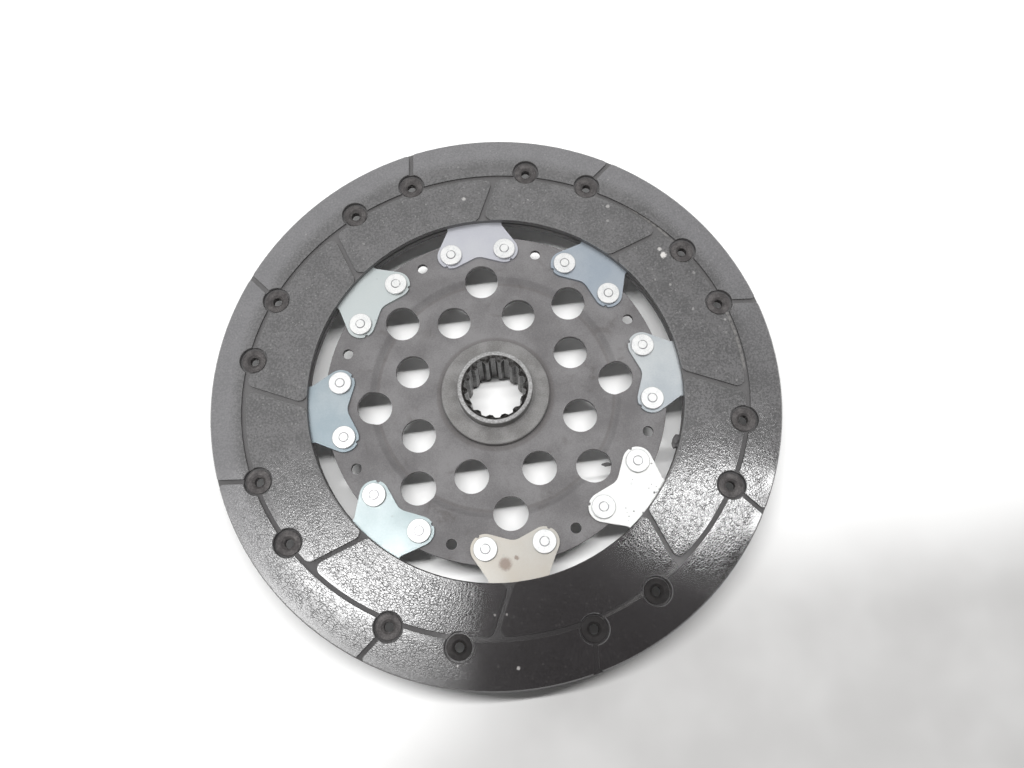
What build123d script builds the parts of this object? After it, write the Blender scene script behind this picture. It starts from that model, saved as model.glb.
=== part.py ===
"""Clutch disc with a rigid centre: splined hub, dished drive plate, cushion segments and two facings.

Millimetres. +Z runs along the hub axis towards the gearbox. The origin is on the hub axis, in the
plane of the hub's lower end face, on which the disc stands. +Y runs through the middle of segment 1.
"""
import os
from math import acos, atan2, cos, degrees, hypot, pi, radians, sin, sqrt, tan

from build123d import *

# ---------------------------------------------------------------- driving dimensions
# hub
hub_length = 28.0
boss_radius = 15.8
boss_mouth_radius = 14.2
barrel_radius = 15.8
hub_edge_round = 0.4
flange_radius = 23.1
flange_top_height = 21.6
flange_edge_round = 0.6
plate_seat_radius = 18.0
staked_lip_radius = 19.6
staked_lip_height = 1.0
spline_teeth = 14
spline_tip_radius = 11.6
spline_root_radius = 13.0
spline_space_share = 0.5
spline_flank_angle = 30.0
spline_first_angle = 10.5

# drive plate
plate_thickness = 2.2
plate_radius = 72.7
plate_rim_width = 20.2
plate_step_run = 2.6
plate_edge_round = 0.3
plate_bend_round = 1.5
plate_seat_clearance = 0.02
outer_hole_inset = 20.8
inner_hole_inset = 14.6
plate_hole_radius = 7.3
small_hole_inset = 6.3
small_hole_radius = 2.25

# cushion segments, in two layers
segment_count = 8
segment_thickness = 0.75
lug_radius = 6.1
lug_notch_radius = 0.75
lug_notch_angle = 25.0
wave_arc_offset = 5.1
wave_arc_radius = 6.0
neck_half_width = 12.3
neck_reach = 5.7
paddle_bore_gap = 6.4
paddle_rim_gap = 1.6
paddle_gap_angle = 2.6
paddle_corner_round = 3.0
neck_corner_round = 4.0

# rivets that hold the segments to the plate
segment_rivet_inset = 6.37
segment_rivet_half_angle = 10.39
segment_rivet_shank_radius = 2.9
segment_rivet_head_radius = 4.88
segment_rivet_head_height = 1.25
segment_rivet_tail_radius = 4.6
segment_rivet_tail_height = 0.9
rivet_edge_round = 0.3
head_button_radius = 1.9
head_button_height = 0.2

# friction facings
facing_radius = 120.0
facing_plate_gap = 6.9
facing_thickness = 3.15
facing_edge_chamfer = 0.5
groove_depth = 1.0
groove_width = 2.0
groove_slant = 20.0
ring_groove_long_inset = 14.0
ring_groove_short_inset = 19.2
bore_groove_mid_angle = 4.95
mouth_round = 3.0
rim_mouth_round = 1.6

# tubular rivets through the facings
facing_rivet_inset = 15.5
facing_rivet_half_angle = 14.6
facing_recess_radius = 5.8
facing_recess_depth = 2.1
recess_edge_chamfer = 0.35
facing_rivet_flange_radius = 5.0
facing_rivet_flange_thickness = 0.5
facing_rivet_tube_radius = 2.7
facing_rivet_bore_radius = 1.95
facing_rivet_mouth_radius = 2.9
facing_rivet_mouth_depth = 0.9
facing_rivet_edge_round = 0.15
rivet_hole_clearance = 0.05

# levels along the axis
disc_mid_height = 21.1
plate_step_height = 2.05

# ---------------------------------------------------------------- sizes worked out from the above
segment_pitch = 360.0 / segment_count
first_segment_angle = 90.0
upper_segment_top = disc_mid_height + segment_thickness
lower_segment_bottom = disc_mid_height - segment_thickness
facing_top = upper_segment_top + facing_thickness
facing_bottom = lower_segment_bottom - facing_thickness
rim_plate_top = lower_segment_bottom
rim_plate_bottom = rim_plate_top - plate_thickness
centre_plate_top = rim_plate_top - plate_step_height
centre_plate_bottom = centre_plate_top - plate_thickness
plate_step_radius = plate_radius - plate_rim_width
outer_hole_circle = plate_radius - outer_hole_inset
inner_hole_circle = outer_hole_circle - inner_hole_inset
small_hole_circle = plate_radius - small_hole_inset
segment_rivet_circle = plate_radius - segment_rivet_inset
facing_bore_radius = plate_radius + facing_plate_gap
facing_rivet_circle = facing_radius - facing_rivet_inset
ring_groove_long_radius = facing_radius - ring_groove_long_inset
ring_groove_short_radius = facing_radius - ring_groove_short_inset
ring_groove_outer_edge = (
    ring_groove_long_radius + groove_width / 2,
    ring_groove_short_radius + groove_width / 2,
)
ring_groove_inner_edge = (
    ring_groove_long_radius - groove_width / 2,
    ring_groove_short_radius - groove_width / 2,
)
bore_groove_mid_radius = (facing_bore_radius + ring_groove_short_radius) / 2
wave_arc_centre = outer_hole_circle + wave_arc_offset
neck_radius = plate_radius + neck_reach
paddle_inner_radius = facing_bore_radius + paddle_bore_gap
paddle_radius = facing_radius - paddle_rim_gap


def turned(points, rounds=0.0):
    """Solid of revolution about Z from a closed outline of (radius, height) points."""
    if isinstance(rounds, (int, float)):
        rounds = [rounds] * len(points)
    outline = FilletPolyline(*points, radius=rounds, close=True)
    return revolve(Plane.XZ * make_face(outline), Axis.Z)


def polar_spot(radius, angle):
    """Point in the plan at a distance from the axis and an angle in degrees."""
    return radius * cos(radians(angle)), radius * sin(radians(angle))


def segment_angle(index):
    """Angle of the middle of a cushion segment."""
    return first_segment_angle + index * segment_pitch


def paired_spots(circle_radius, half_angle):
    """Two places per cushion segment, one on each side of its middle."""
    spots = []
    for index in range(segment_count):
        for side in (-1, 1):
            spots.append(polar_spot(circle_radius, segment_angle(index) - side * half_angle))
    return spots


segment_rivet_spots = paired_spots(segment_rivet_circle, segment_rivet_half_angle)
facing_rivet_spots = paired_spots(facing_rivet_circle, facing_rivet_half_angle)


def drill(solid, spots, radius):
    """Cut a through hole along Z at each spot."""
    reach = 2 * hub_length
    tools = [Pos(x, y, disc_mid_height) * Cylinder(radius, reach) for x, y in spots]
    return solid - tools


# ---------------------------------------------------------------- hub
def spline_bore():
    """Tool that cuts the splined bore and the chamfer at each of its mouths."""
    tip_circle = Circle(spline_tip_radius)
    root_circle = Circle(spline_root_radius)
    middle_radius = (spline_tip_radius + spline_root_radius) / 2
    middle_half_width = pi * middle_radius / spline_teeth * spline_space_share
    flank_spread = (spline_root_radius - spline_tip_radius) * tan(radians(spline_flank_angle))
    inner_half_width = middle_half_width + flank_spread
    outer_half_width = middle_half_width - flank_spread
    inner_reach = middle_radius - (spline_root_radius - spline_tip_radius)
    outer_reach = middle_radius + (spline_root_radius - spline_tip_radius)
    space = make_face(
        Polyline(
            (inner_reach, -inner_half_width),
            (outer_reach, -outer_half_width),
            (outer_reach, outer_half_width),
            (inner_reach, inner_half_width),
            close=True,
        )
    )
    space = space & root_circle
    plan = tip_circle
    for tooth in range(spline_teeth):
        plan += Rot(Z=spline_first_angle + tooth * 360.0 / spline_teeth) * space
    bore = extrude(plan, hub_length)
    mouth_depth = boss_mouth_radius - spline_tip_radius
    lower_mouth = Cone(boss_mouth_radius, spline_tip_radius, mouth_depth)
    upper_mouth = Cone(spline_tip_radius, boss_mouth_radius, mouth_depth)
    bore += Pos(0, 0, mouth_depth / 2) * lower_mouth
    bore += Pos(0, 0, hub_length - mouth_depth / 2) * upper_mouth
    return bore


def hub():
    """Hub turned in one piece: barrel, staked lip, plate seat, flange and boss, with a splined bore."""
    outline = [
        (0, 0),
        (barrel_radius, 0),
        (barrel_radius, centre_plate_bottom - staked_lip_height),
        (staked_lip_radius, centre_plate_bottom - staked_lip_height),
        (staked_lip_radius, centre_plate_bottom),
        (plate_seat_radius, centre_plate_bottom),
        (plate_seat_radius, centre_plate_top),
        (flange_radius, centre_plate_top),
        (flange_radius, flange_top_height),
        (boss_radius, flange_top_height),
        (boss_radius, hub_length),
        (0, hub_length),
    ]
    edge = hub_edge_round
    rounds = [0, edge, edge, edge, 0, 0, 0, 0, flange_edge_round, edge, edge, 0]
    return turned(outline, rounds) - spline_bore()


# ---------------------------------------------------------------- drive plate
def drive_plate():
    """Pressed plate: a flat centre, a step up to the rim, and its rings of holes."""
    bore = plate_seat_radius + plate_seat_clearance
    step_start = plate_step_radius - plate_step_run / 2
    step_end = plate_step_radius + plate_step_run / 2
    outline = [
        (bore, centre_plate_bottom),
        (step_start, centre_plate_bottom),
        (step_end, rim_plate_bottom),
        (plate_radius, rim_plate_bottom),
        (plate_radius, rim_plate_top),
        (step_end, rim_plate_top),
        (step_start, centre_plate_top),
        (bore, centre_plate_top),
    ]
    bend = plate_bend_round
    edge = plate_edge_round
    plate = turned(outline, [0, bend, bend, edge, edge, bend, bend, 0])
    outer_spots = []
    inner_spots = []
    small_spots = []
    for index in range(segment_count):
        between = segment_angle(index) + segment_pitch / 2
        outer_spots.append(polar_spot(outer_hole_circle, segment_angle(index)))
        inner_spots.append(polar_spot(inner_hole_circle, between))
        small_spots.append(polar_spot(small_hole_circle, between))
    plate = drill(plate, outer_spots + inner_spots, plate_hole_radius)
    plate = drill(plate, small_spots, small_hole_radius)
    return drill(plate, segment_rivet_spots, segment_rivet_shank_radius + rivet_hole_clearance)


# ---------------------------------------------------------------- cushion segments
def tangent_spot(outside_x, outside_y, centre_x, centre_y, radius, side):
    """Point where a line from an outside point touches a circle; side picks left (1) or right (-1)."""
    distance = hypot(outside_x - centre_x, outside_y - centre_y)
    toward = atan2(outside_y - centre_y, outside_x - centre_x)
    angle = toward + side * acos(radius / distance)
    return centre_x + radius * cos(angle), centre_y + radius * sin(angle)


def tab_plan():
    """Part of a segment inside the facing bore: two round lugs joined over the outer plate hole."""
    lug_x, lug_y = polar_spot(segment_rivet_circle, 90 - segment_rivet_half_angle)
    neck_height = sqrt(neck_radius**2 - neck_half_width**2)
    flank_x, flank_y = tangent_spot(neck_half_width, neck_height, lug_x, lug_y, lug_radius, -1)
    # the line between lug and wave crosses from one circle to the other at this point
    share = lug_radius / (lug_radius + wave_arc_radius)
    cross_x = lug_x * (1 - share)
    cross_y = lug_y + (wave_arc_centre - lug_y) * share
    lug_touch = tangent_spot(cross_x, cross_y, lug_x, lug_y, lug_radius, 1)
    wave_touch = tangent_spot(cross_x, cross_y, 0, wave_arc_centre, wave_arc_radius, 1)
    right_side = [
        (neck_half_width, neck_height),
        (flank_x, flank_y),
        (lug_x, lug_y),
        lug_touch,
        wave_touch,
    ]
    left_side = [(-x, y) for x, y in reversed(right_side)]
    plan = make_face(Polyline(*right_side, *left_side, close=True))
    for side in (-1, 1):
        plan += Pos(side * lug_x, lug_y) * Circle(lug_radius)
    plan -= Pos(0, wave_arc_centre) * Circle(wave_arc_radius)
    for side in (-1, 1):
        notch_x = side * (lug_x + lug_radius * sin(radians(lug_notch_angle)))
        notch_y = lug_y - lug_radius * cos(radians(lug_notch_angle))
        plan -= Pos(notch_x, notch_y) * Circle(lug_notch_radius)
    return plan


def paddle_plan():
    """Part of a segment between the facings: a rounded sector on a neck."""
    half_angle = segment_pitch / 2 - paddle_gap_angle / 2
    ring = Circle(paddle_radius) - Circle(paddle_inner_radius)
    side_x, side_y = polar_spot(2 * paddle_radius, 90 - half_angle)
    wedge = make_face(Polyline((0, 0), (side_x, side_y), (-side_x, side_y), close=True))
    paddle = ring & wedge
    paddle = fillet(paddle.vertices(), paddle_corner_round)
    neck_height = sqrt(neck_radius**2 - neck_half_width**2)
    neck_top = paddle_inner_radius + paddle_corner_round
    neck = make_face(
        Polyline(
            (-neck_half_width, neck_height),
            (neck_half_width, neck_height),
            (neck_half_width, neck_top),
            (-neck_half_width, neck_top),
            close=True,
        )
    )
    plan = paddle + neck
    corner_height = sqrt(paddle_inner_radius**2 - neck_half_width**2)
    corners = []
    for side in (-1, 1):
        corner = Vertex(side * neck_half_width, corner_height, 0)
        corners.append(plan.vertices().sort_by_distance(corner)[0])
    return fillet(corners, neck_corner_round)


def cushion_segment():
    """One segment with its middle on +Y and its lower face at height zero."""
    plan = tab_plan() + paddle_plan()
    tab_hole = segment_rivet_shank_radius + rivet_hole_clearance
    paddle_hole = facing_rivet_tube_radius + rivet_hole_clearance
    for side in (-1, 1):
        x, y = polar_spot(segment_rivet_circle, 90 + side * segment_rivet_half_angle)
        plan -= Pos(x, y) * Circle(tab_hole)
        x, y = polar_spot(facing_rivet_circle, 90 + side * facing_rivet_half_angle)
        plan -= Pos(x, y) * Circle(paddle_hole)
    return extrude(plan, segment_thickness)


# ---------------------------------------------------------------- rivets
def segment_rivet():
    """Solid rivet through two segment layers and the plate, headed on both sides."""
    head_top = upper_segment_top + segment_rivet_head_height
    tail_bottom = rim_plate_bottom - segment_rivet_tail_height
    outline = [
        (0, tail_bottom),
        (segment_rivet_tail_radius, tail_bottom),
        (segment_rivet_tail_radius, rim_plate_bottom),
        (segment_rivet_shank_radius, rim_plate_bottom),
        (segment_rivet_shank_radius, upper_segment_top),
        (segment_rivet_head_radius, upper_segment_top),
        (segment_rivet_head_radius, head_top),
        (head_button_radius, head_top),
        (head_button_radius, head_top + head_button_height),
        (0, head_top + head_button_height),
    ]
    edge = rivet_edge_round
    return turned(outline, [0, edge, 0, 0, 0, 0, edge, 0, 0, 0])


def facing_rivet():
    """Tubular rivet: a thin tube with a flange and a flared mouth at each end."""
    top = facing_top - facing_recess_depth + facing_rivet_flange_thickness
    bottom = facing_bottom + facing_recess_depth - facing_rivet_flange_thickness
    outline = [
        (facing_rivet_bore_radius, bottom + facing_rivet_mouth_depth),
        (facing_rivet_mouth_radius, bottom),
        (facing_rivet_flange_radius, bottom),
        (facing_rivet_flange_radius, bottom + facing_rivet_flange_thickness),
        (facing_rivet_tube_radius, bottom + facing_rivet_flange_thickness),
        (facing_rivet_tube_radius, top - facing_rivet_flange_thickness),
        (facing_rivet_flange_radius, top - facing_rivet_flange_thickness),
        (facing_rivet_flange_radius, top),
        (facing_rivet_mouth_radius, top),
        (facing_rivet_bore_radius, top - facing_rivet_mouth_depth),
    ]
    edge = facing_rivet_edge_round
    return turned(outline, [0, edge, edge, 0, 0, 0, 0, edge, edge, 0])


# ---------------------------------------------------------------- friction facings
def oval_reach(start_x, start_y, direction, oval):
    """Distance from a point inside an oval to its edge, along a direction in degrees."""
    step_x, step_y = polar_spot(1.0, direction)
    long_square, short_square = oval[0] ** 2, oval[1] ** 2
    a = step_x**2 / long_square + step_y**2 / short_square
    b = start_x * step_x / long_square + start_y * step_y / short_square
    c = start_x**2 / long_square + start_y**2 / short_square - 1
    return (sqrt(b * b - a * c) - b) / a


def groove_foot(x, y, direction):
    """Point of a groove's middle line that is nearest the axis."""
    step_x, step_y = polar_spot(1.0, direction)
    reach = x * step_x + y * step_y
    return x - reach * step_x, y - reach * step_y


def strip_plan(foot, direction, start, end):
    """Straight stretch of groove between two distances from its foot."""
    strip = Pos(0, (start + end) / 2) * Rectangle(groove_width, end - start)
    return Pos(*foot) * Rot(Z=direction - 90) * strip


def corner_plan(foot, direction, flank, oval, land, corner_round):
    """Rounded corner where a groove's flank meets an oval edge; land is 1 inside the oval, -1 outside."""
    step_x, step_y = polar_spot(1.0, direction)
    away = flank * (groove_width / 2 + corner_round)
    start_x, start_y = foot[0] - away * step_y, foot[1] + away * step_x
    long_line, short_line = oval[0] - land * corner_round, oval[1] - land * corner_round
    reach = oval_reach(start_x, start_y, direction, (long_line, short_line))
    centre_x, centre_y = start_x + reach * step_x, start_y + reach * step_y
    outward = degrees(atan2(centre_y / short_line**2, centre_x / long_line**2))
    past_x, past_y = polar_spot(land * (corner_round + groove_width / 2), outward)
    end = oval_reach(*foot, direction, oval) + land * groove_width / 2
    block = Polyline(
        (foot[0] + reach * step_x, foot[1] + reach * step_y),
        (centre_x, centre_y),
        (centre_x + past_x, centre_y + past_y),
        (foot[0] + end * step_x, foot[1] + end * step_y),
        close=True,
    )
    return make_face(block) - Pos(centre_x, centre_y) * Circle(corner_round)


def bore_groove_plan(index):
    """Slanted groove from the bore to the oval ring groove, widened at both ends."""
    bore = (facing_bore_radius, facing_bore_radius)
    angle = segment_angle(index) - bore_groove_mid_angle
    direction = angle - groove_slant
    foot = groove_foot(*polar_spot(bore_groove_mid_radius, angle), direction)
    start = oval_reach(*foot, direction, bore) - groove_width
    end = oval_reach(*foot, direction, ring_groove_inner_edge) + groove_width / 2
    plan = strip_plan(foot, direction, start, end)
    for flank in (-1, 1):
        plan += corner_plan(foot, direction, flank, bore, -1, mouth_round)
        plan += corner_plan(foot, direction, flank, ring_groove_inner_edge, 1, mouth_round)
    return plan


def rim_groove_plan(index):
    """Slanted groove from a rivet recess out through the rim, widened at the rim."""
    rim = (facing_radius, facing_radius)
    angle = segment_angle(index) + facing_rivet_half_angle
    direction = angle - groove_slant
    spot_x, spot_y = polar_spot(facing_rivet_circle, angle)
    foot = groove_foot(spot_x, spot_y, direction)
    start = hypot(spot_x - foot[0], spot_y - foot[1])
    end = oval_reach(*foot, direction, rim) + groove_width
    plan = strip_plan(foot, direction, start, end)
    for flank in (-1, 1):
        plan += corner_plan(foot, direction, flank, rim, 1, rim_mouth_round)
    return plan


def groove_plan():
    """All grooves of a facing."""
    plan = Ellipse(*ring_groove_outer_edge) - Ellipse(*ring_groove_inner_edge)
    for index in range(segment_count):
        plan += bore_groove_plan(index)
        plan += rim_groove_plan(index)
    return plan


def friction_facing():
    """Facing with its back at height zero and its grooved friction face up."""
    outline = [
        (facing_bore_radius, 0),
        (facing_radius, 0),
        (facing_radius, facing_thickness - facing_edge_chamfer),
        (facing_radius - facing_edge_chamfer, facing_thickness),
        (facing_bore_radius + facing_edge_chamfer, facing_thickness),
        (facing_bore_radius, facing_thickness - facing_edge_chamfer),
    ]
    facing = turned(outline)
    facing -= extrude(Pos(0, 0, facing_thickness - groove_depth) * groove_plan(), facing_thickness)
    recess_floor = facing_thickness - facing_recess_depth
    recess = Pos(0, 0, recess_floor + facing_thickness / 2) * Cylinder(facing_recess_radius, facing_thickness)
    mouth_radius = facing_recess_radius + recess_edge_chamfer
    mouth = Cone(facing_recess_radius, mouth_radius, recess_edge_chamfer)
    recess += Pos(0, 0, facing_thickness - recess_edge_chamfer / 2) * mouth
    hole = Cylinder(facing_rivet_tube_radius + rivet_hole_clearance, 2 * facing_thickness)
    return facing - [Pos(x, y) * (recess + hole) for x, y in facing_rivet_spots]


# ---------------------------------------------------------------- assembly
def save(shape, name):
    """Write one piece under its node name."""
    shape.label = name
    export_step(shape, f"parts/{name}.step")


def build():
    """Make every piece in its place and write it."""
    os.makedirs("parts", exist_ok=True)
    save(hub(), "hub")
    save(drive_plate(), "drive_plate")
    facing = friction_facing()
    save(Pos(0, 0, upper_segment_top) * facing, "friction_facing_upper")
    save(Pos(0, 0, lower_segment_bottom) * mirror(facing, Plane.XY), "friction_facing_lower")
    segment = cushion_segment()
    for index in range(segment_count):
        turn = Rot(Z=index * segment_pitch)
        save(Pos(0, 0, disc_mid_height) * turn * segment, f"cushion_segment_upper_{index + 1}")
        save(Pos(0, 0, lower_segment_bottom) * turn * segment, f"cushion_segment_lower_{index + 1}")
    plate_rivet = segment_rivet()
    for number, (x, y) in enumerate(segment_rivet_spots, 1):
        save(Pos(x, y) * plate_rivet, f"segment_rivet_{number}")
    tube_rivet = facing_rivet()
    for number, (x, y) in enumerate(facing_rivet_spots, 1):
        save(Pos(x, y) * tube_rivet, f"facing_rivet_{number}")


build()
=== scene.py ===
"""Clutch disc: finishes, small worn details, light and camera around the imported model.

Metres, in the model's own frame: +Z along the hub axis, the floor at z = 0, +Y through segment 1.
Finishes are written in millimetres and in degrees round the axis, counted from +X.
"""
import random
from math import cos, pi, radians, sin
from types import SimpleNamespace

import bmesh
import bpy
from mathutils import Matrix, Vector, noise


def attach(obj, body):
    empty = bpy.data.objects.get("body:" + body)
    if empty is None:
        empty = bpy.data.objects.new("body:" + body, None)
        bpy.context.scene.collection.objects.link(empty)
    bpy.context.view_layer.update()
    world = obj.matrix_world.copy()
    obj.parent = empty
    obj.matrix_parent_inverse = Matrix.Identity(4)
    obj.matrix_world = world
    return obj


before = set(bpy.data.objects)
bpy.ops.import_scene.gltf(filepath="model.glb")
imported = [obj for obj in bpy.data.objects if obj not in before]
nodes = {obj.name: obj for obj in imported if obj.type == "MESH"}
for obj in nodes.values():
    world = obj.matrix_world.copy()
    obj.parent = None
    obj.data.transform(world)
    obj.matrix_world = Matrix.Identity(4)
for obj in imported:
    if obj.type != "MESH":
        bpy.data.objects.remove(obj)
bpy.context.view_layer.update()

MM = 0.001
SEGMENT_PITCH = 45.0
# the height midway between the two facings, and how far their faces lie from it
DISC_MID_HEIGHT = 21.1
FRICTION_FACE_REACH = 3.9


# ---------------------------------------------------------------- building shader trees
class Tree:
    """A short way to write a shader node tree."""

    def __init__(self, tree):
        self.tree = tree

    def add(self, kind, inputs=None, **settings):
        """Add a node, set its settings, and fill or link its inputs."""
        node = self.tree.nodes.new(kind)
        for name, value in settings.items():
            setattr(node, name, value)
        for key, value in (inputs or {}).items():
            self.feed(node.inputs[key], value)
        return node

    def feed(self, socket, value):
        """Link an output to a socket, or write a plain value there."""
        if isinstance(value, bpy.types.NodeSocket):
            self.tree.links.new(value, socket)
        else:
            socket.default_value = value

    def math(self, operation, first, second=0.0, third=0.0):
        """One sum on two or three numbers."""
        node = self.add("ShaderNodeMath", {0: first, 1: second, 2: third}, operation=operation)
        return node.outputs[0]

    def chain(self, operation, values):
        """The same sum carried through a row of numbers."""
        result = values[0]
        for value in values[1:]:
            result = self.math(operation, result, value)
        return result

    def times(self, *values):
        return self.chain("MULTIPLY", values)

    def plus(self, *values):
        return self.chain("ADD", values)

    def largest(self, *values):
        return self.chain("MAXIMUM", values)

    def minus(self, first, second):
        return self.math("SUBTRACT", first, second)

    def away(self, value, middle):
        """How far a value lies from a middle, on either side."""
        return self.math("ABSOLUTE", self.minus(value, middle))

    def eased(self, value, mask, share):
        """A value brought down by a share of itself where a mask is full."""
        return self.times(value, self.minus(1.0, self.times(mask, share)))

    def ramp(self, value, start, end, low=0.0, high=1.0):
        """Smooth change from low to high while value goes from start to end."""
        inputs = {"Value": value, "From Min": start, "From Max": end, "To Min": low, "To Max": high}
        node = self.add("ShaderNodeMapRange", inputs, interpolation_type="SMOOTHSTEP")
        return node.outputs["Result"]

    def blend(self, share, first, second):
        """Colour between first and second by a mask."""
        node = self.add("ShaderNodeMix", data_type="RGBA")
        self.feed(node.inputs["Factor"], share)
        self.feed(node.inputs[6], first)
        self.feed(node.inputs[7], second)
        return node.outputs[2]

    def vector(self, operation, first, second):
        """One sum on two vectors."""
        node = self.add("ShaderNodeVectorMath", {0: first, 1: second}, operation=operation)
        return node.outputs[0]

    def scaled(self, vector, factor):
        node = self.add("ShaderNodeVectorMath", {0: vector, "Scale": factor}, operation="SCALE")
        return node.outputs[0]

    def split(self, vector):
        """The X, Y and Z of a vector."""
        return self.add("ShaderNodeSeparateXYZ", {0: vector}).outputs

    def flat_length(self, parts):
        """The length of a vector seen along the axis, from its parts."""
        square = self.plus(self.times(parts["X"], parts["X"]), self.times(parts["Y"], parts["Y"]))
        return self.math("SQRT", square)

    def noise(self, place, size, detail=3.0, roughness=0.55, distortion=0.0):
        """Cloudy value from 0 to 1; size is the breadth of a cloud in millimetres."""
        inputs = {
            "Vector": place,
            "Scale": 1.0 / size,
            "Detail": detail,
            "Roughness": roughness,
            "Distortion": distortion,
        }
        return self.add("ShaderNodeTexNoise", inputs).outputs["Fac"]

    def fine_noise(self, place, density, detail, output="Fac"):
        """The same cloud, where its density is worked out in the tree."""
        inputs = {"Vector": place, "Scale": density, "Detail": detail}
        return self.add("ShaderNodeTexNoise", inputs).outputs[output]

    def group(self, name, inputs=None):
        """Place a shared effect and fill or link its inputs."""
        return self.add("ShaderNodeGroup", inputs, node_tree=bpy.data.node_groups[name]).outputs


SOCKET_KINDS = {"value": "NodeSocketFloat", "vector": "NodeSocketVector"}


def effect(name, inputs, outputs):
    """Start a shared effect from its inputs' start values and its outputs' kinds.

    Returns its tree, its input sockets and its output sockets.
    """
    group = bpy.data.node_groups.new(name, "ShaderNodeTree")
    for title, default in inputs.items():
        kind = "value" if isinstance(default, float) else "vector"
        socket = group.interface.new_socket(title, in_out="INPUT", socket_type=SOCKET_KINDS[kind])
        socket.default_value = default
    for title, kind in outputs.items():
        group.interface.new_socket(title, in_out="OUTPUT", socket_type=SOCKET_KINDS[kind])
    tree = Tree(group)
    source = tree.add("NodeGroupInput").outputs
    result = tree.add("NodeGroupOutput").inputs
    return tree, source, result


# ---------------------------------------------------------------- shared effects
NOWHERE = (0.0, 0.0, 0.0)
# the share of a spot's or a fleck's radius inside which it is solid
SOLID_CORE = 0.45


def make_disc_place():
    """Place on the disc in millimetres: along the axes, from the hub axis, round it, and up."""
    kinds = {"Place": "vector", "Radius": "value", "Angle": "value", "Height": "value"}
    tree, _, result = effect("Disc place", {}, kinds)
    place = tree.scaled(tree.add("ShaderNodeTexCoord").outputs["Object"], 1 / MM)
    parts = tree.split(place)
    turn = tree.math("ARCTAN2", parts["Y"], parts["X"])
    tree.feed(result["Place"], place)
    tree.feed(result["Radius"], tree.flat_length(parts))
    tree.feed(result["Angle"], tree.times(turn, 180 / pi))
    tree.feed(result["Height"], parts["Z"])


def make_ring_zone():
    """Mask of a ring round the axis with soft edges."""
    inputs = {"Radius": 0.0, "Middle": 100.0, "Half Width": 5.0, "Blur": 1.0}
    tree, source, result = effect("Ring zone", inputs, {"Mask": "value"})
    away = tree.away(source["Radius"], source["Middle"])
    outer = tree.plus(source["Half Width"], source["Blur"])
    tree.feed(result["Mask"], tree.ramp(away, outer, source["Half Width"]))


def make_sector_zone():
    """Mask of a sector round the axis with soft edges, in degrees."""
    inputs = {"Angle": 0.0, "Middle": 0.0, "Half Width": 10.0, "Blur": 5.0}
    tree, source, result = effect("Sector zone", inputs, {"Mask": "value"})
    apart = tree.minus(source["Angle"], source["Middle"])
    away = tree.math("ABSOLUTE", tree.math("WRAP", apart, 180.0, -180.0))
    outer = tree.plus(source["Half Width"], source["Blur"])
    tree.feed(result["Mask"], tree.ramp(away, outer, source["Half Width"]))


def make_spot():
    """Mask of one ragged spot, soft towards its edge."""
    inputs = {"Place": NOWHERE, "Centre": NOWHERE, "Radius": 1.0, "Ragged": 0.5}
    tree, source, result = effect("Spot", inputs, {"Mask": "value"})
    parts = tree.split(tree.vector("SUBTRACT", source["Place"], source["Centre"]))
    waver = tree.minus(tree.noise(source["Place"], 0.9), 0.5)
    reach = tree.plus(tree.flat_length(parts), tree.times(waver, source["Ragged"]))
    inner = tree.times(source["Radius"], SOLID_CORE)
    tree.feed(result["Mask"], tree.ramp(reach, source["Radius"], inner))


def make_flecks():
    """Mask of small scattered flecks; share is how much of the cells carry one."""
    smallest = 0.35
    inputs = {"Place": NOWHERE, "Spacing": 2.0, "Size": 0.3, "Share": 0.3}
    tree, source, result = effect("Flecks", inputs, {"Mask": "value"})
    density = tree.math("DIVIDE", 1.0, source["Spacing"])
    waver = tree.fine_noise(source["Place"], 2.5, 2.0, "Color")
    shaken = tree.vector("ADD", source["Place"], tree.scaled(waver, source["Size"]))
    cells = tree.add("ShaderNodeTexVoronoi", {"Vector": shaken, "Scale": density})
    chance = tree.add("ShaderNodeSeparateColor", {0: cells.outputs["Color"]}).outputs
    reach = tree.times(cells.outputs["Distance"], source["Spacing"])
    own_size = tree.times(source["Size"], tree.plus(chance[1], smallest))
    dot = tree.ramp(reach, own_size, tree.times(own_size, SOLID_CORE))
    chosen = tree.math("LESS_THAN", chance[0], source["Share"])
    tree.feed(result["Mask"], tree.times(dot, chosen))


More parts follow.
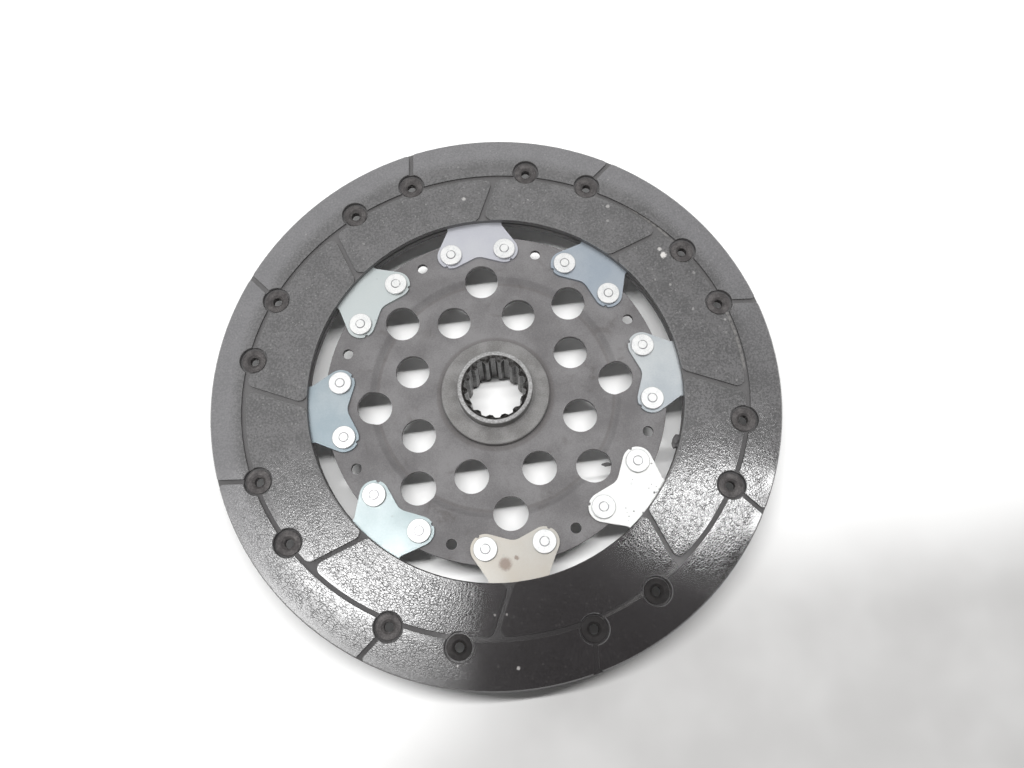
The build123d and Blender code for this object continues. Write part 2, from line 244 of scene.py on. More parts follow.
def make_crackle():
    """Fine broken cracks between glazed grains that are drawn out round the disc.

    Openness is the share that is cracked.
    """
    mean_radius = 92.0
    seam = 90.0  # the angle jumps here, where no lining is cracked
    most_closed = 0.7  # cloud level above which cracks show where openness is none
    core = 0.3
    inputs = {
        "Place": NOWHERE,
        "Radius": 90.0,
        "Angle": 0.0,
        "Size": 2.0,
        "Width": 0.1,
        "Openness": 0.5,
        "Stretch": 1.6,
    }
    tree, source, result = effect("Crackle", inputs, {"Cracks": "value", "Grains": "value"})
    turn = tree.math("WRAP", source["Angle"], seam, seam - 360.0)
    along = tree.math("DIVIDE", tree.times(turn, radians(mean_radius)), source["Stretch"])
    flat = tree.add("ShaderNodeCombineXYZ", {0: along, 1: source["Radius"], 2: 0.0}).outputs[0]
    density = tree.math("DIVIDE", 1.0, source["Size"])
    waver = tree.fine_noise(flat, tree.times(density, 1.4), 3.0, "Color")
    shaken = tree.vector("ADD", flat, tree.scaled(waver, tree.times(source["Size"], 0.9)))
    cells = tree.add(
        "ShaderNodeTexVoronoi",
        {"Vector": shaken, "Scale": density},
        feature="DISTANCE_TO_EDGE",
        voronoi_dimensions="2D",
    ).outputs["Distance"]
    cloud = tree.fine_noise(source["Place"], tree.times(density, 0.5), 4.0)
    closed = tree.minus(most_closed, tree.times(source["Openness"], 0.4))
    broken = tree.ramp(cloud, closed, tree.plus(closed, 0.1))
    line = tree.ramp(cells, source["Width"], tree.times(source["Width"], core))
    tree.feed(result["Cracks"], tree.times(line, broken))
    tree.feed(result["Grains"], tree.ramp(cells, 0.0, 0.35))


def make_edge_wear():
    """Mask of the outer edges, broken up by a cloudy value."""
    inputs = {"Place": NOWHERE, "Reach": 0.4, "Strength": 1.0}
    tree, source, result = effect("Edge wear", inputs, {"Mask": "value"})
    reach = tree.times(source["Reach"], MM)
    rounded = tree.add("ShaderNodeBevel", {"Radius": reach}, samples=4).outputs[0]
    true_normal = tree.add("ShaderNodeNewGeometry").outputs["Normal"]
    dot = tree.add("ShaderNodeVectorMath", {0: rounded, 1: true_normal}, operation="DOT_PRODUCT")
    bend = tree.minus(1.0, dot.outputs["Value"])
    worn = tree.ramp(bend, 0.02, 0.22)  # from a hardly bent edge to a full one
    cloud = tree.ramp(tree.noise(source["Place"], 2.5, 4.0), 0.3, 0.65)
    tree.feed(result["Mask"], tree.times(worn, cloud, source["Strength"]))


def make_mottle():
    """Two sizes of cloud mixed into one value round 0.5."""
    inputs = {"Place": NOWHERE, "Broad": 12.0, "Fine": 0.6, "Fine Share": 0.5}
    tree, source, result = effect("Mottle", inputs, {"Value": "value"})
    mixed = tree.add("ShaderNodeMix", {"Factor": source["Fine Share"]}, data_type="FLOAT")
    for socket, size, detail in ((2, "Broad", 4.0), (3, "Fine", 2.0)):
        density = tree.math("DIVIDE", 1.0, source[size])
        tree.feed(mixed.inputs[socket], tree.fine_noise(source["Place"], density, detail))
    tree.feed(result["Value"], mixed.outputs[0])


make_disc_place()
make_ring_zone()
make_sector_zone()
make_spot()
make_flecks()
make_crackle()
make_edge_wear()
make_mottle()


# ---------------------------------------------------------------- placing the shared effects
def polar(angle, radius, height=0.0):
    """Point on the disc in millimetres from its angle in degrees and its distance from the axis."""
    return Vector((radius * cos(radians(angle)), radius * sin(radians(angle)), height))


def ring(tree, radius, middle, half_width, blur):
    """Mask of one ring."""
    inputs = {"Radius": radius, "Middle": middle, "Half Width": half_width, "Blur": blur}
    return tree.group("Ring zone", inputs)["Mask"]


def sector(tree, angle, middle, half_angle, blur):
    """Mask of one sector."""
    inputs = {"Angle": angle, "Middle": middle, "Half Width": half_angle, "Blur": blur}
    return tree.group("Sector zone", inputs)["Mask"]


def spot(tree, where, angle, radius, size, ragged):
    """Mask of one spot at an angle and a distance from the axis."""
    centre = polar(angle, radius)
    inputs = {"Place": where, "Centre": centre, "Radius": size, "Ragged": ragged}
    return tree.group("Spot", inputs)["Mask"]


def flecks(tree, where, spacing, size, share):
    """Mask of scattered flecks."""
    inputs = {"Place": where, "Spacing": spacing, "Size": size, "Share": share}
    return tree.group("Flecks", inputs)["Mask"]


def edge_wear(tree, where, reach, strength):
    """Mask of worn edges."""
    inputs = {"Place": where, "Reach": reach, "Strength": strength}
    return tree.group("Edge wear", inputs)["Mask"]


def mottle(tree, where, broad, fine, fine_share):
    """Cloudy value in two sizes."""
    inputs = {"Place": where, "Broad": broad, "Fine": fine, "Fine Share": fine_share}
    return tree.group("Mottle", inputs)["Value"]


# ---------------------------------------------------------------- finishes
def finish(name, metallic, ior=1.5, specular=0.5):
    """Start a finish and return it with its tree, its shader and the place values."""
    material = bpy.data.materials.new(name)
    material.use_nodes = True
    material.node_tree.nodes.clear()
    tree = Tree(material.node_tree)
    shader = tree.add("ShaderNodeBsdfPrincipled")
    shader.inputs["Metallic"].default_value = metallic
    shader.inputs["IOR"].default_value = ior
    shader.inputs["Specular IOR Level"].default_value = specular
    output = tree.add("ShaderNodeOutputMaterial")
    tree.feed(output.inputs["Surface"], shader.outputs[0])
    return material, tree, shader, tree.group("Disc place")


def bump(tree, shader, height, distance):
    """Give the shader a relief; distance is its depth in millimetres at height 1."""
    inputs = {"Strength": 1.0, "Distance": distance * MM, "Height": height}
    tree.feed(shader.inputs["Normal"], tree.add("ShaderNodeBump", inputs).outputs[0])


FACING_DARK = (0.008, 0.0072, 0.0075, 1.0)
FACING_PALE = (0.06, 0.057, 0.059, 1.0)
# painted shade: the colour of the dark sector of the facings
FACING_PAINTED_SHADE = (0.021, 0.0185, 0.0192, 1.0)
# painted sheen: the paler colour of the outer rim over one half
FACING_OUTER_SHEEN = (0.165, 0.162, 0.172, 1.0)
FACING_CRACK = (0.006, 0.006, 0.006, 1.0)
FACING_GROOVE = (0.038, 0.036, 0.036, 1.0)
FACING_SPECK = (0.62, 0.6, 0.58, 1.0)
FACING_DUST = (0.13, 0.125, 0.12, 1.0)

# sectors of the facings: middle angle, half angle, blur
# painted sheen: the half round 108 degrees, where the outer rim is paler
SHEEN_SECTOR = (108.0, 78.0, 45.0)
# painted shade: a dark, smooth sector on both facings where no lamp is mirrored
PAINTED_SHADE_SECTOR = (281.5, 22.5, 12.0)
LEFT_HOT_SECTOR = (224.0, 24.0, 14.0)
RIGHT_HOT_SECTOR = (323.0, 15.5, 6.0)
# the right hot sector leans by this many degrees for each millimetre outside this radius
RIGHT_LEAN = -0.35
LEAN_RADIUS = 92.0
# rings of the facings: middle radius, half width, blur
INNER_BAND = (91.0, 8.0, 4.0)
OUTER_BAND = (110.5, 4.0, 4.0)
# the face apart from its rounded rim and bore edges
PLAIN_FACE = (100.0, 18.6, 0.6)
# where the outermost part of the face begins and is fully there
OUTER_RIM = (106.0, 113.0)

# light specks on the upper facing: angle, distance from the axis, radius, strength
LIGHT_SPECKS = (
    (32.4, 96.2, 1.7, 0.9),
    (34.3, 96.9, 1.1, 0.6),
    (52.3, 99.3, 1.1, 0.35),
    (50.2, 93.0, 0.8, 0.25),
    (10.0, 103.4, 0.8, 0.3),
    (15.4, 92.6, 0.7, 0.25),
    (24.0, 101.6, 0.9, 0.2),
    (24.5, 89.8, 0.8, 0.25),
    (28.2, 85.7, 0.7, 0.2),
    (92.0, 91.2, 1.1, 0.5),
    (267.6, 111.6, 0.9, 0.5),
    (273.4, 100.6, 0.7, 0.3),
    (263.0, 91.6, 0.6, 0.3),
    (265.9, 91.6, 0.6, 0.3),
    (255.6, 111.3, 0.6, 0.3),
    (338.0, 117.0, 0.7, 0.3),
)

# dusty lines in the grooves of the upper facing: middle angle, half angle, radius, half width
DUSTY_LINES = (
    (5.0, 6.5, 105.9, 0.45),
    (42.5, 7.0, 104.4, 0.35),
    (291.0, 6.0, 102.0, 0.45),
    (284.7, 0.35, 114.5, 4.0),
)


def facing_zones(tree, place):
    """Masks of the facings: sectors, worn bands, and what lies deeper than the friction face."""
    radius, angle, height = place["Radius"], place["Angle"], place["Height"]
    left = sector(tree, angle, *LEFT_HOT_SECTOR)
    lean = tree.times(tree.minus(radius, LEAN_RADIUS), RIGHT_LEAN)
    right = sector(tree, tree.plus(angle, lean), *RIGHT_HOT_SECTOR)
    band = ring(tree, radius, *INNER_BAND)
    bands = tree.largest(band, tree.times(ring(tree, radius, *OUTER_BAND), 0.8))
    # deep cuts count everywhere, and shallow ones, such as a recess's chamfer, on the plain face
    depth = tree.minus(FRICTION_FACE_REACH, tree.away(height, DISC_MID_HEIGHT))
    shallow = tree.times(tree.ramp(depth, 0.06, 0.3), ring(tree, radius, *PLAIN_FACE))
    return SimpleNamespace(
        left=left,
        right=right,
        band=band,
        heat=tree.times(tree.largest(left, right), bands),
        painted_shade=sector(tree, angle, *PAINTED_SHADE_SECTOR),
        painted_sheen=sector(tree, angle, *SHEEN_SECTOR),
        rim=tree.ramp(radius, *OUTER_RIM),
        sunk=tree.largest(tree.ramp(depth, 0.55, 0.9), shallow),
        upper=tree.math("GREATER_THAN", height, DISC_MID_HEIGHT),
    )


def facing_cracks(tree, place, zones):
    """Mask of the crazing in the hot sectors, and the glazed grains that the fine cracks leave."""
    where = place["Place"]
    shared = {"Place": where, "Radius": place["Radius"], "Angle": place["Angle"]}
    openness = tree.minus(0.75, tree.times(zones.right, 0.22))
    dense = tree.group("Crackle", {**shared, "Size": 0.95, "Width": 0.1, "Openness": openness})
    sparse = tree.group("Crackle", {**shared, "Size": 2.7, "Width": 0.032, "Openness": 0.7})
    fine_share = tree.ramp(tree.noise(where, 4.0, 2.0), 0.35, 0.6, 0.35, 0.9)
    wide_share = tree.ramp(tree.noise(where, 6.0, 2.0), 0.35, 0.6, 0.25, 0.85)
    fine = tree.times(dense["Cracks"], fine_share)
    wide = tree.eased(tree.times(sparse["Cracks"], wide_share), zones.right, 0.45)
    return tree.times(tree.largest(fine, wide), zones.heat), dense["Grains"]


def facing_flecks(tree, where, zones):
    """Mask of pale flecks, densest in the inner worn band and sparser in the sector of painted
    shade.
    """
    small = tree.times(flecks(tree, where, spacing=1.3, size=0.42, share=0.4), 0.11)
    large = tree.times(flecks(tree, where, spacing=4.2, size=0.5, share=0.2), 0.24)
    both = tree.times(tree.largest(small, large), tree.plus(tree.times(zones.band, 0.4), 0.6))
    return tree.eased(both, zones.painted_shade, 0.6)


def facing_specks(tree, where, zones):
    """Mask of the light specks on the upper friction face."""
    specks = 0.0
    for angle, radius, size, strength in LIGHT_SPECKS:
        speck = spot(tree, where, angle, radius, size, ragged=size * 1.2)
        specks = tree.largest(specks, tree.times(speck, strength))
    return tree.times(specks, zones.upper, tree.minus(1.0, zones.sunk))


def facing_dust(tree, place, zones):
    """Mask of the dust lying in some of the upper grooves."""
    lines = 0.0
    for middle, half_angle, radius, half_width in DUSTY_LINES:
        part = sector(tree, place["Angle"], middle, half_angle, blur=half_angle * 0.4)
        line = ring(tree, place["Radius"], radius, half_width, blur=0.3)
        lines = tree.largest(lines, tree.times(part, line))
    broken = tree.ramp(tree.noise(place["Place"], 1.6, 3.0), 0.35, 0.55)
    lines = tree.times(lines, zones.upper, tree.times(broken, zones.sunk))
    return tree.eased(lines, zones.painted_shade, 0.65)


def facing_finish():
    """Moulded friction lining: fine grain, pale flecks, glazed and crazed patches, a smooth dark
    sector of painted shade, a paler outer rim over one half as painted sheen, dark grooves and
    recesses with dust in some of them."""
    material, tree, shader, place = finish("friction lining", 0.0, ior=2.4)
    where = place["Place"]
    zones = facing_zones(tree, place)
    cracks, grains = facing_cracks(tree, place, zones)
    grain = mottle(tree, where, broad=9.0, fine=0.8, fine_share=0.7)
    tone = tree.ramp(grain, 0.4, 0.6)

    colour = tree.blend(tone, FACING_DARK, FACING_PALE)
    # painted sheen: the outer rim is paler over the half round 108 degrees
    colour = tree.blend(tree.times(zones.rim, zones.painted_sheen, 0.45), colour, FACING_OUTER_SHEEN)
    # painted shade: the dark sector
    colour = tree.blend(tree.times(zones.painted_shade, 0.88), colour, FACING_PAINTED_SHADE)
    colour = tree.blend(tree.times(cracks, 0.95), colour, FACING_CRACK)
    colour = tree.blend(facing_flecks(tree, where, zones), colour, FACING_SPECK)
    groove_tone = tree.times(tone, tree.minus(0.6, tree.times(zones.painted_shade, 0.6)))
    groove = tree.blend(groove_tone, FACING_GROOVE, FACING_PALE)
    # the grooves in the dark sector carry the same painted shade
    groove = tree.blend(tree.times(zones.painted_shade, 0.9), groove, FACING_PAINTED_SHADE)
    colour = tree.blend(zones.sunk, colour, groove)
    colour = tree.blend(facing_specks(tree, where, zones), colour, FACING_SPECK)
    colour = tree.blend(facing_dust(tree, place, zones), colour, FACING_DUST)
    worn = edge_wear(tree, where, reach=0.35, strength=0.3)
    colour = tree.blend(worn, colour, FACING_DUST)
    tree.feed(shader.inputs["Base Color"], colour)

    # glazed all over; the sector of painted shade is evenly smooth, the rim duller at the left, and
    # the
    #     grooves are dry, apart from their flat floors in the sector of painted shade
    glaze = tree.ramp(grain, 0.35, 0.65, 0.11, 0.16)
    glaze = tree.plus(glaze, tree.times(zones.painted_shade, tree.minus(0.12, glaze)))
    glaze = tree.plus(glaze, tree.times(zones.right, -0.04))
    glaze = tree.plus(glaze, tree.times(zones.rim, zones.left, 0.115))
    lie = tree.add("ShaderNodeTexCoord").outputs["Normal"]
    level = tree.ramp(tree.math("ABSOLUTE", tree.split(lie)["Z"]), 0.85, 0.98)
    dry = tree.minus(0.52, tree.times(zones.painted_shade, level, 0.46))
    rough = tree.plus(glaze, tree.times(zones.sunk, dry), tree.times(cracks, 0.4))
    tree.feed(shader.inputs["Roughness"], rough)

    # packed black dust in the grooves takes their shine away
    packed = tree.times(tree.largest(zones.painted_shade, zones.left, zones.right), 0.26)
    tree.feed(shader.inputs["Metallic"], tree.times(zones.sunk, packed))

    pits = tree.noise(where, 0.6, 2.0, 0.6)
    lumps = tree.noise(where, 1.2, 3.0, 0.6)
    coarse = tree.times(zones.heat, tree.minus(0.68, tree.times(zones.right, 0.26)))
    relief = tree.times(tree.plus(tree.times(pits, 0.35), lumps), tree.plus(coarse, 0.1))
    relief = tree.plus(relief, tree.times(grains, tree.times(coarse, 0.3)))
    bump(tree, shader, tree.plus(relief, tree.times(cracks, -0.6)), 0.042)
    return material


PLATE_DARK = (0.142, 0.137, 0.139, 1.0)
PLATE_PALE = (0.208, 0.203, 0.205, 1.0)
# handling smudges; the same colour paints the shade in the rings below
PLATE_SMUDGE_AND_SHADE = (0.1, 0.09, 0.086, 1.0)
PLATE_WORN = (0.4, 0.4, 0.4, 1.0)
# rings of painted shade on the plate, at the press step and round the hub's seat: middle radius,
# half width, blur
PRESS_STEP_SHADE = (50.6, 0.25, 0.8)
SEAT_SHADE = (24.2, 0.5, 1.2)


def plate_finish():
    """Pressed steel with a satin grey phosphate skin, handling smudges, and faint rings of painted
    shade at the press step and round the hub's seat.
    """
    material, tree, shader, place = finish("phosphated plate", 0.2, specular=0.25)
    where = place["Place"]
    clouds = mottle(tree, where, broad=16.0, fine=0.5, fine_share=0.35)
    smudge = tree.ramp(tree.noise(where, 9.0, 4.0, 0.6, 0.6), 0.56, 0.74)
    colour = tree.blend(tree.ramp(clouds, 0.34, 0.66), PLATE_DARK, PLATE_PALE)
    colour = tree.blend(tree.times(smudge, 0.45), colour, PLATE_SMUDGE_AND_SHADE)
    # painted shade at the press step and round the hub's seat
    for zone, strength in ((PRESS_STEP_SHADE, 0.4), (SEAT_SHADE, 0.45)):
        line = tree.times(ring(tree, place["Radius"], *zone), strength)
        colour = tree.blend(line, colour, PLATE_SMUDGE_AND_SHADE)
    scratches = tree.times(flecks(tree, where, spacing=3.4, size=0.22, share=0.2), 0.35)
    colour = tree.blend(scratches, colour, PLATE_WORN)
    worn = edge_wear(tree, where, reach=0.3, strength=0.6)
    colour = tree.blend(worn, colour, PLATE_WORN)
    tree.feed(shader.inputs["Base Color"], colour)
    rough = tree.plus(tree.ramp(clouds, 0.3, 0.7, 0.66, 0.52), tree.times(smudge, 0.08))
    tree.feed(shader.inputs["Roughness"], rough)
    relief = tree.plus(tree.times(tree.noise(where, 0.4, 2.0), 0.6), tree.noise(where, 3.0, 2.0))
    bump(tree, shader, relief, 0.012)
    return material


ZINC_COOL = (0.46, 0.5, 0.53, 1.0)
ZINC_PALE = (0.6, 0.63, 0.64, 1.0)
ZINC_DULL = (0.33, 0.36, 0.36, 1.0)
ZINC_BROWN = (0.26, 0.2, 0.17, 1.0)
ZINC_BLACK = (0.05, 0.05, 0.05, 1.0)

# each tab gets its own tint and brightness: angle, colour, strength
TAB_TINTS = (
    (45.0, (0.34, 0.4, 0.475, 1.0), 0.75),
    (90.0, (0.68, 0.65, 0.74, 1.0), 0.5),
    (135.0, (0.66, 0.72, 0.7, 1.0), 0.6),
    (180.0, (0.28, 0.35, 0.39, 1.0), 0.75),
    (225.0, (0.38, 0.46, 0.465, 1.0), 0.8),
    (270.0, (0.54, 0.49, 0.42, 1.0), 0.85),
    (315.0, (0.95, 0.95, 0.93, 1.0), 0.95),
)
TAB_HALF_ANGLE = 16.0
TAB_BLUR = 5.0
# stains on the tabs: angle, distance from the axis, radius
BROWN_STAINS = ((266.2, 72.2, 3.4), (270.0, 70.2, 1.2))
# dark corrosion dots on the tabs: angle, distance from the axis, radius of the area
DARK_DOT_AREAS = (
    (308.8, 76.6, 5.0),
    (311.8, 78.6, 3.8),
    (319.5, 77.6, 4.0),
    (325.5, 73.6, 3.6),
    (318.0, 68.5, 2.6),
    (277.0, 67.9, 1.4),
)


def segment_finish():
    """Zinc-plated spring steel: cool and pale clouds, dull flecks, two stains and dark dots."""
    material, tree, shader, place = finish("zinc plating", 0.85)
    where = place["Place"]
    clouds = mottle(tree, where, broad=18.0, fine=0.7, fine_share=0.2)
    colour = tree.blend(tree.ramp(clouds, 0.3, 0.7), ZINC_COOL, ZINC_PALE)
    for angle, tint, strength in TAB_TINTS:
        tab = sector(tree, place["Angle"], angle, TAB_HALF_ANGLE, TAB_BLUR)
        share = tree.times(tab, tree.ramp(clouds, 0.3, 0.7, strength, strength * 0.7))
        colour = tree.blend(share, colour, tint)
    patch = tree.ramp(tree.noise(where, 11.0, 2.0), 0.5, 0.64)
    dull = tree.times(flecks(tree, where, spacing=2.4, size=0.8, share=0.2), patch, 0.45)
    colour = tree.blend(dull, colour, ZINC_DULL)
    for angle, radius, size in BROWN_STAINS:
        stain = spot(tree, where, angle, radius, size, ragged=1.6)
        colour = tree.blend(tree.times(stain, 0.8), colour, ZINC_BROWN)
    areas = 0.0
    for angle, radius, size in DARK_DOT_AREAS:
        area = spot(tree, where, angle, radius, size, ragged=2.5)
        areas = tree.largest(areas, area)
    dots = tree.times(flecks(tree, where, spacing=1.5, size=0.5, share=0.7), areas, 0.9)
    colour = tree.blend(dots, colour, ZINC_BLACK)
    tree.feed(shader.inputs["Base Color"], colour)
    tree.feed(shader.inputs["Roughness"], tree.ramp(clouds, 0.3, 0.7, 0.42, 0.3))
    rolled = tree.times(tree.noise(where, 0.5, 2.0), 0.5)
    bump(tree, shader, tree.plus(rolled, tree.noise(where, 4.0, 2.0)), 0.01)
    return material


RIVET_PALE = (0.93, 0.93, 0.92, 1.0)
RIVET_DULL = (0.74, 0.75, 0.75, 1.0)
# painted shade low round the heads
RIVET_LOW_SHADE = (0.16, 0.15, 0.14, 1.0)
# painted shade for the lines round the button and at the rim of a head
RIVET_LINE_SHADE = (0.24, 0.24, 0.25, 1.0)
RIVET_CIRCLE = 66.33
RIVET_HALF_ANGLE = 10.39
RIVET_HEAD = 4.88
RIVET_EDGE = 0.4
# the ring of painted shade round the button on a head: middle radius, half width, blur
RIVET_BUTTON = (1.9, 0.1, 0.22)
# heights over which painted shade comes in low round a head
RIVET_SHADE_HEIGHTS = (22.6, 22.0)


def rivet_finish():
    """Bright upset rivet heads with painted shade in a ring round the button, at the rim and low
    round the base.
    """
    material, tree, shader, place = finish("bright rivet", 0.8)
    where = place["Place"]
    clouds = mottle(tree, where, broad=3.0, fine=0.45, fine_share=0.5)
    colour = tree.blend(tree.ramp(clouds, 0.3, 0.58), RIVET_DULL, RIVET_PALE)
    # painted shade low round the head's base
    low_shade = tree.times(tree.ramp(place["Height"], *RIVET_SHADE_HEIGHTS), 0.7)
    colour = tree.blend(low_shade, colour, RIVET_LOW_SHADE)

    # distance from the nearest rivet's middle, with the disc folded onto one rivet
    turn = tree.math("WRAP", place["Angle"], SEGMENT_PITCH / 2, -SEGMENT_PITCH / 2)
    folded = tree.times(tree.math("ABSOLUTE", turn), pi / 180)
    across = tree.times(place["Radius"], tree.math("COSINE", folded))
    along = tree.times(place["Radius"], tree.math("SINE", folded))
    point = tree.add("ShaderNodeCombineXYZ", {0: across, 1: along, 2: 0.0}).outputs[0]
    ends = {0: point, 1: polar(RIVET_HALF_ANGLE, RIVET_CIRCLE)}
    away = tree.add("ShaderNodeVectorMath", ends, operation="DISTANCE").outputs["Value"]
    # painted shade round the button's step, broken up
    pressed = tree.ramp(tree.noise(where, 2.2, 2.0), 0.34, 0.5, 0.25, 0.95)
    button = tree.times(ring(tree, away, *RIVET_BUTTON), pressed)
    colour = tree.blend(button, colour, RIVET_LINE_SHADE)
    # painted shadow at the rim of the head
    edge = tree.times(tree.ramp(away, RIVET_HEAD - RIVET_EDGE, RIVET_HEAD), 0.5)
    colour = tree.blend(edge, colour, RIVET_LINE_SHADE)
    tree.feed(shader.inputs["Base Color"], colour)
    tree.feed(shader.inputs["Roughness"], tree.ramp(clouds, 0.3, 0.7, 0.4, 0.28))
    bump(tree, shader, tree.noise(where, 0.7, 3.0), 0.012)
    return material


TUBE_DARK = (0.06, 0.056, 0.056, 1.0)
TUBE_PALE = (0.13, 0.122, 0.12, 1.0)
# painted shade for the tubes in the dark sector
TUBE_PAINTED_SHADE = (0.012, 0.011, 0.011, 1.0)
# sector of painted shade where the tubes are black: middle angle, half angle, blur
TUBE_SHADE_SECTOR = (280.0, 23.0, 12.0)


def facing_rivet_finish():
    """Tubular rivets at the bottom of the recesses, dulled by dust, and black with painted shade in
    one sector.
    """
    material, tree, shader, place = finish("dusty rivet", 0.25, specular=0.25)
    where = place["Place"]
    clouds = mottle(tree, where, broad=2.5, fine=0.4, fine_share=0.5)
    colour = tree.blend(tree.ramp(clouds, 0.38, 0.68), TUBE_DARK, TUBE_PALE)
    worn = edge_wear(tree, where, reach=0.2, strength=0.6)
    colour = tree.blend(worn, colour, ZINC_DULL)
    # painted shade: the tubes made black in the dark sector
    painted_shade = tree.times(sector(tree, place["Angle"], *TUBE_SHADE_SECTOR), 0.85)
    colour = tree.blend(painted_shade, colour, TUBE_PAINTED_SHADE)
    tree.feed(shader.inputs["Base Color"], colour)
    tree.feed(shader.inputs["Roughness"], tree.ramp(clouds, 0.3, 0.7, 0.62, 0.45))
    bump(tree, shader, tree.noise(where, 0.5, 3.0), 0.03)
    return material


HUB_DARK = (0.175, 0.17, 0.166, 1.0)
HUB_PALE = (0.265, 0.26, 0.256, 1.0)
HUB_OIL = (0.014, 0.012, 0.011, 1.0)
HUB_WORN = (0.5, 0.5, 0.5, 1.0)
# radii over which the bore's oil sets in, and radii and heights over which the worn lip does
HUB_OIL_EDGE = (14.1, 13.9)
HUB_LIP_EDGE = (14.0, 14.2)
HUB_LIP_HEIGHT = (27.0, 27.6)
LATHE_PITCH = 0.35


def hub_finish():
    """Turned steel hub: fine lathe rings, oily bore, bright worn rim."""
    material, tree, shader, place = finish("turned hub", 0.6)
    where = place["Place"]
    radius = place["Radius"]
    clouds = mottle(tree, where, broad=7.0, fine=0.5, fine_share=0.4)
    colour = tree.blend(tree.ramp(clouds, 0.34, 0.66), HUB_DARK, HUB_PALE)
    film = tree.ramp(tree.noise(where, 1.6, 4.0), 0.35, 0.6, 0.55, 1.0)
    oil = tree.times(tree.ramp(radius, *HUB_OIL_EDGE), film)
    colour = tree.blend(oil, colour, HUB_OIL)
    lip = tree.times(tree.ramp(place["Height"], *HUB_LIP_HEIGHT), tree.ramp(radius, *HUB_LIP_EDGE))
    rubbed = tree.ramp(tree.noise(where, 0.9, 4.0, 0.7), 0.42, 0.62, 0.2, 0.8)
    colour = tree.blend(tree.times(lip, rubbed), colour, HUB_WORN)
    worn = edge_wear(tree, where, reach=0.5, strength=1.0)
    colour = tree.blend(worn, colour, HUB_WORN)
    tree.feed(shader.inputs["Base Color"], colour)
    rough = tree.plus(tree.ramp(clouds, 0.3, 0.7, 0.5, 0.36), tree.times(oil, -0.08))
    tree.feed(shader.inputs["Roughness"], rough)
    rings = tree.math("SINE", tree.times(radius, 2 * pi / LATHE_PITCH))
    bump(tree, shader, tree.plus(tree.times(rings, 0.35), tree.noise(where, 0.8, 3.0)), 0.012)
    return material


FINISHES = {
    "facing": facing_finish(),
    "plate_steel": plate_finish(),
    "segment_steel": segment_finish(),
    "rivet_steel": rivet_finish(),
    "facing_rivet_steel": facing_rivet_finish(),
    "hub_steel": hub_finish(),
}

# the material slot of each kind of node, told from the beginning of its name
NODE_SLOTS = {
    "friction_facing": "facing",
    "cushion_segment": "segment_steel",
    "segment_rivet": "rivet_steel",
    "facing_rivet": "facing_rivet_steel",
    "drive_plate": "plate_steel",
    "hub": "hub_steel",
}

for name, piece in nodes.items():
    kind = next(start for start in NODE_SLOTS if name.startswith(start))
    for slot in piece.material_slots:
        slot.material = FINISHES[NODE_SLOTS[kind]]


# ---------------------------------------------------------------- crumbs of lining
# a flake on the edge of an outer plate hole, and a lump on the wall of the facing bore:
# place on the disc in millimetres, half sizes along, across and up, and heading in degrees
CRUMBS = {
    "lining_flake": ((42.3, -36.95, 19.1), (2.0, 0.75, 0.5), 176.0),
    "lining_lump": ((72.4, -32.0, 19.6), (2.9, 2.0, 1.6), 66.5),
}


def make_crumb(name, place, reach, heading, seed):
    """Small ragged lump of lining, narrower at its root."""
    rng = random.Random(seed)
    shift = Vector([rng.uniform(-50, 50) for _ in range(3)])
    turn = Matrix.Rotation(radians(heading), 3, "Z")
    shape = bmesh.new()
    bmesh.ops.create_icosphere(shape, subdivisions=4, radius=1.0)
    for vertex in shape.verts:
        out = vertex.co.normalized()
        knobs = noise.noise(out * 1.6 + shift) * 0.45 + noise.noise(out * 4.5 + shift) * 0.16
        swell = 1.0 + knobs + 0.25 * out.x
        local = Vector([swell * side * half for side, half in zip(out, reach)])
        vertex.co = (turn @ local + Vector(place)) * MM
    mesh = bpy.data.meshes.new(name)
    shape.to_mesh(mesh)
    shape.free()
    mesh.shade_smooth()
    mesh.materials.append(FINISHES["facing"])
    crumb = bpy.data.objects.new(name, mesh)
    bpy.context.scene.collection.objects.link(crumb)
    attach(crumb, "root")


for seed, (name, (place, reach, heading)) in enumerate(CRUMBS.items()):
    make_crumb(name, place, reach, heading, seed)


# ---------------------------------------------------------------- floor, light and camera
FLOOR_SIZE = 6.0
FLOOR_PALE = (0.93, 0.93, 0.925, 1.0)
# painted shadow at the front right of the floor
FLOOR_PAINTED_SHADOW = (0.47, 0.465, 0.46, 1.0)
# how far in front of the axis the painted shadow starts and is full, and how far out it ends
FLOOR_SHADOW_REACH = (62.0, 136.0)
FLOOR_SHADOW_END = (420.0, 260.0)
# its edge comes nearer towards the right by this slant, up to a distance with a soft bend
FLOOR_SLANT = 0.75
FLOOR_SLANT_END = 30.0
FLOOR_SLANT_BEND = 60.0


